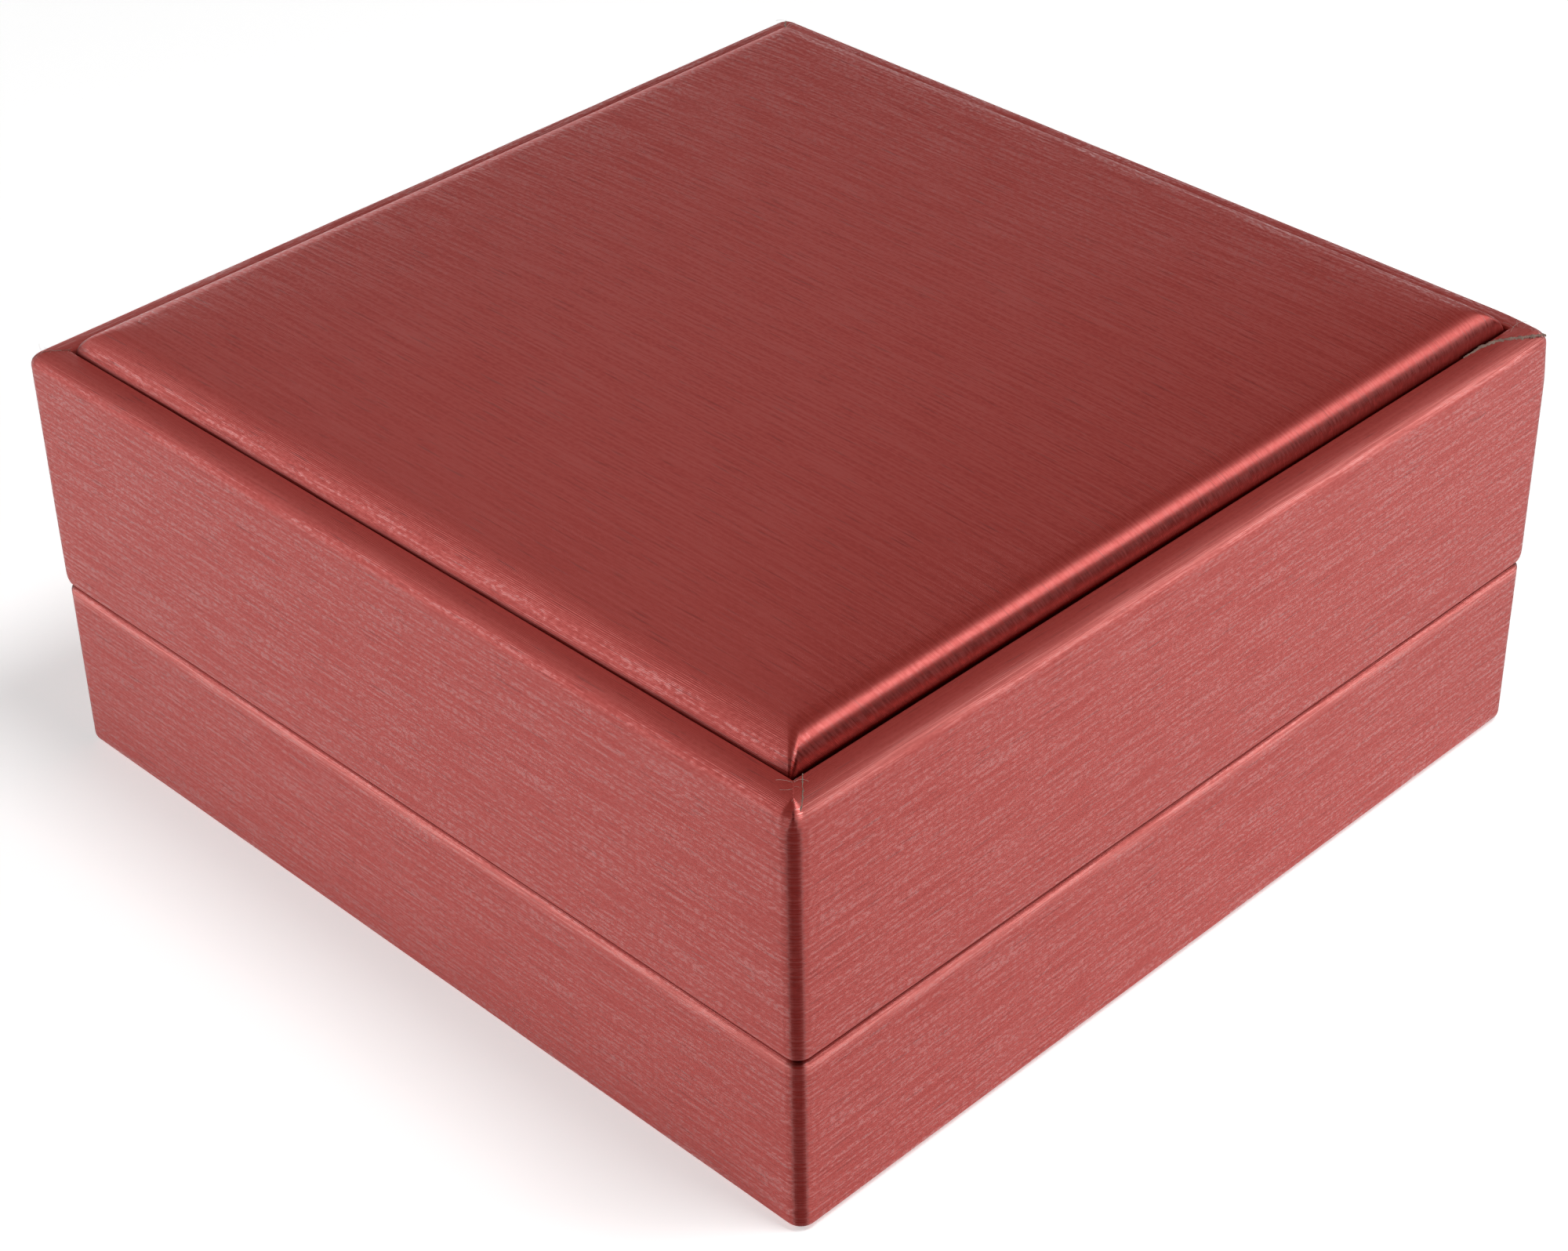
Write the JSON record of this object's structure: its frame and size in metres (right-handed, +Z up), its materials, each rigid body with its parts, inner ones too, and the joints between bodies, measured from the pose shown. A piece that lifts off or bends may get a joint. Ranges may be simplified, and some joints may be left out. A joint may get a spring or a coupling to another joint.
{
  "type": "bracelet box",
  "caption": "Square hinged presentation box for a bracelet, wrapped in brushed metallic leatherette, with a padded panel in the lid's rim and a velour insert with an oval cushion inside",
  "frame": {"origin": "on the supporting surface, under the middle of the case, which is the middle of the flat underside", "axes": "+Z is up. -Y is the front, which opens. +Y is the back, with the hinges. +X is the right side seen from the front."},
  "size_m": [0.09, 0.0911, 0.0425],
  "materials": {
    "brushed_leatherette": "dusty red leatherette with a metallic sheen and very fine brushed ribs",
    "greyboard": "grey-brown pressed board",
    "pad_foam": "soft cream padding foam",
    "dark_velour": "black flocked velour paper",
    "ivory_velour": "short-pile ivory velour",
    "ivory_satin": "smooth ivory satin",
    "hinge_brass": "bright small brass fittings",
    "nickel_plate": "nickel-plated bar magnets"
  },
  "bodies": {
    "base": {"base_floor_board": "greyboard", "base_front_board": "greyboard", "base_back_board": "greyboard", "base_left_board": "greyboard", "base_right_board": "greyboard", "base_wrap": "brushed_leatherette", "base_sole": "dark_velour", "base_lining_front": "ivory_velour", "base_lining_back": "ivory_velour", "base_lining_left": "ivory_velour", "base_lining_right": "ivory_velour", "base_magnet": "nickel_plate", "insert_board": "greyboard", "insert_foam": "pad_foam", "insert_cover": "ivory_velour", "cushion_foam": "pad_foam", "cushion_cover": "ivory_velour", "hinge_left_base_leaf": "hinge_brass", "hinge_left_pin": "hinge_brass", "hinge_left_base_tack_outer": "hinge_brass", "hinge_left_base_tack_inner": "hinge_brass", "hinge_right_base_leaf": "hinge_brass", "hinge_right_pin": "hinge_brass", "hinge_right_base_tack_outer": "hinge_brass", "hinge_right_base_tack_inner": "hinge_brass"},
    "lid": {"lid_top_board": "greyboard", "lid_front_board": "greyboard", "lid_back_board": "greyboard", "lid_left_board": "greyboard", "lid_right_board": "greyboard", "lid_wrap": "brushed_leatherette", "lid_lining_front": "ivory_velour", "lid_lining_back": "ivory_velour", "lid_lining_left": "ivory_velour", "lid_lining_right": "ivory_velour", "lid_magnet": "nickel_plate", "panel_board": "greyboard", "panel_foam": "pad_foam", "panel_cover": "brushed_leatherette", "satin_pad_board": "greyboard", "satin_pad_foam": "pad_foam", "satin_pad_cover": "ivory_satin", "hinge_left_lid_leaf": "hinge_brass", "hinge_left_lid_tack_outer": "hinge_brass", "hinge_left_lid_tack_inner": "hinge_brass", "hinge_right_lid_leaf": "hinge_brass", "hinge_right_lid_tack_outer": "hinge_brass", "hinge_right_lid_tack_inner": "hinge_brass"}
  },
  "joints": [
    {"name": "lid_hinge", "type": "hinge", "parent": "base", "child": "lid", "pos_m": [0, 0.045, 0.0168], "axis": [-1, 0, 0], "range_deg": [0, 95]}
  ]
}
